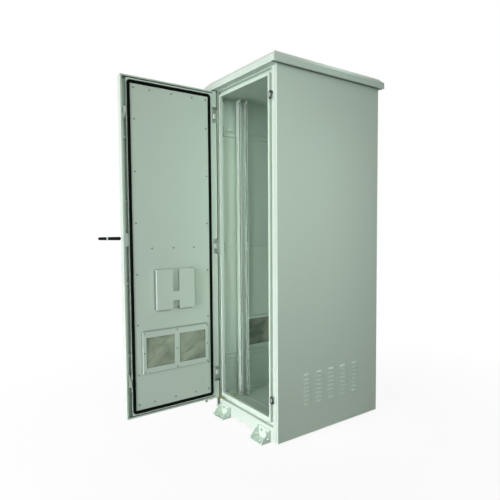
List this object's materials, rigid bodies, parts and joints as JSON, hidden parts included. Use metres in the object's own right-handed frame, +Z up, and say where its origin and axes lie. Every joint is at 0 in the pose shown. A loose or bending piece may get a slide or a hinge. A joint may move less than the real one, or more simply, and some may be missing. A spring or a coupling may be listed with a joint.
{
  "type": "utility cabinet",
  "caption": "Tall outdoor equipment cabinet of folded sheet with an overhanging roof cap, louvred sides, inner rack uprights, anchor feet and a sealed door with a swing-handle rod lock.",
  "frame": {"origin": "on the ground at the centre of the four anchor slots", "axes": "+X to the right and +Y to the back as seen from in front of the doorway, +Z up"},
  "size_m": [0.7299, 1.5381, 2.028],
  "materials": {
    "coat": "satin powder coat",
    "inner_coat": "satin powder coat",
    "zinc": "zinc plated",
    "foot_coat": "satin powder coat",
    "hinge_metal": "dull metal",
    "lock_metal": "dull metal",
    "black_grip": "satin black",
    "seal": "matt",
    "filter_mat": "fibrous mat",
    "wire": "smooth insulation"
  },
  "bodies": {
    "cabinet": {"anchor_feet": "foot_coat", "ceiling_plate": "inner_coat", "depth_rail_left_lower": "inner_coat", "depth_rail_left_middle": "inner_coat", "depth_rail_left_upper": "inner_coat", "depth_rail_right_lower": "inner_coat", "depth_rail_right_middle": "inner_coat", "depth_rail_right_upper": "inner_coat", "earth_stud_frame": "zinc", "earth_wire_frame": "wire", "floor_plate": "inner_coat", "foot_bolts": "zinc", "front_header": "coat", "front_post_left": "coat", "front_post_right": "coat", "front_sill": "coat", "gland_plate": "inner_coat", "gland_plate_screws": "zinc", "hinge_frame_leaves": "hinge_metal", "rack_upright_left": "inner_coat", "rack_upright_right": "inner_coat", "rear_panel": "coat", "rear_panel_screws": "zinc", "rod_keepers": "lock_metal", "roof_cap": "coat", "side_filter_frame": "inner_coat", "side_filter_mat": "filter_mat", "side_panel_left": "coat", "side_panel_right": "coat", "upright_brackets": "inner_coat"},
    "door": {"document_pocket": "coat", "door_cross_rail": "coat", "door_filter_frame": "inner_coat", "door_filter_mat_free_side": "filter_mat", "door_filter_mat_hinge_side": "filter_mat", "door_frame": "coat", "door_gasket": "seal", "door_liner": "coat", "door_pan": "coat", "door_screws": "zinc", "earth_stud_door": "zinc", "earth_wire_door": "wire", "handle_plate": "black_grip", "hinge_door_leaves": "hinge_metal", "lock_case": "lock_metal", "rod_guides": "zinc"},
    "spindle": {"handle_spindle": "black_grip"},
    "lever": {"handle_lever": "black_grip"},
    "upper_rod": {"lock_rod_upper": "zinc", "rod_tip_upper": "lock_metal"},
    "lower_rod": {"lock_rod_lower": "zinc", "rod_tip_lower": "lock_metal"}
  },
  "joints": [
    {"name": "door_swing", "type": "hinge", "parent": "cabinet", "child": "door", "pos_m": [-0.279, -0.42, 1.034], "axis": [0, 0, 1], "range_deg": [-20, 90]},
    {"name": "handle_turn", "type": "hinge", "parent": "door", "child": "spindle", "pos_m": [-0.295, -0.97, 1.094], "axis": [1, 0, 0], "range_deg": [0, 90]},
    {"name": "handle_lift", "type": "hinge", "parent": "spindle", "child": "lever", "pos_m": [-0.3154, -0.97, 1.094], "axis": [0, 0, 1], "range_deg": [-30, 30]},
    {"name": "upper_rod_slide", "type": "slide", "parent": "door", "child": "upper_rod", "axis": [0, 0, 1], "range_m": [0, 0.03]},
    {"name": "lower_rod_slide", "type": "slide", "parent": "door", "child": "lower_rod", "axis": [0, 0, -1], "range_m": [0, 0.03]}
  ],
  "couplings": [
    {"joint": "upper_rod_slide", "follows": "handle_turn", "m_per_rad": 0.019099},
    {"joint": "lower_rod_slide", "follows": "handle_turn", "m_per_rad": 0.019099}
  ]
}
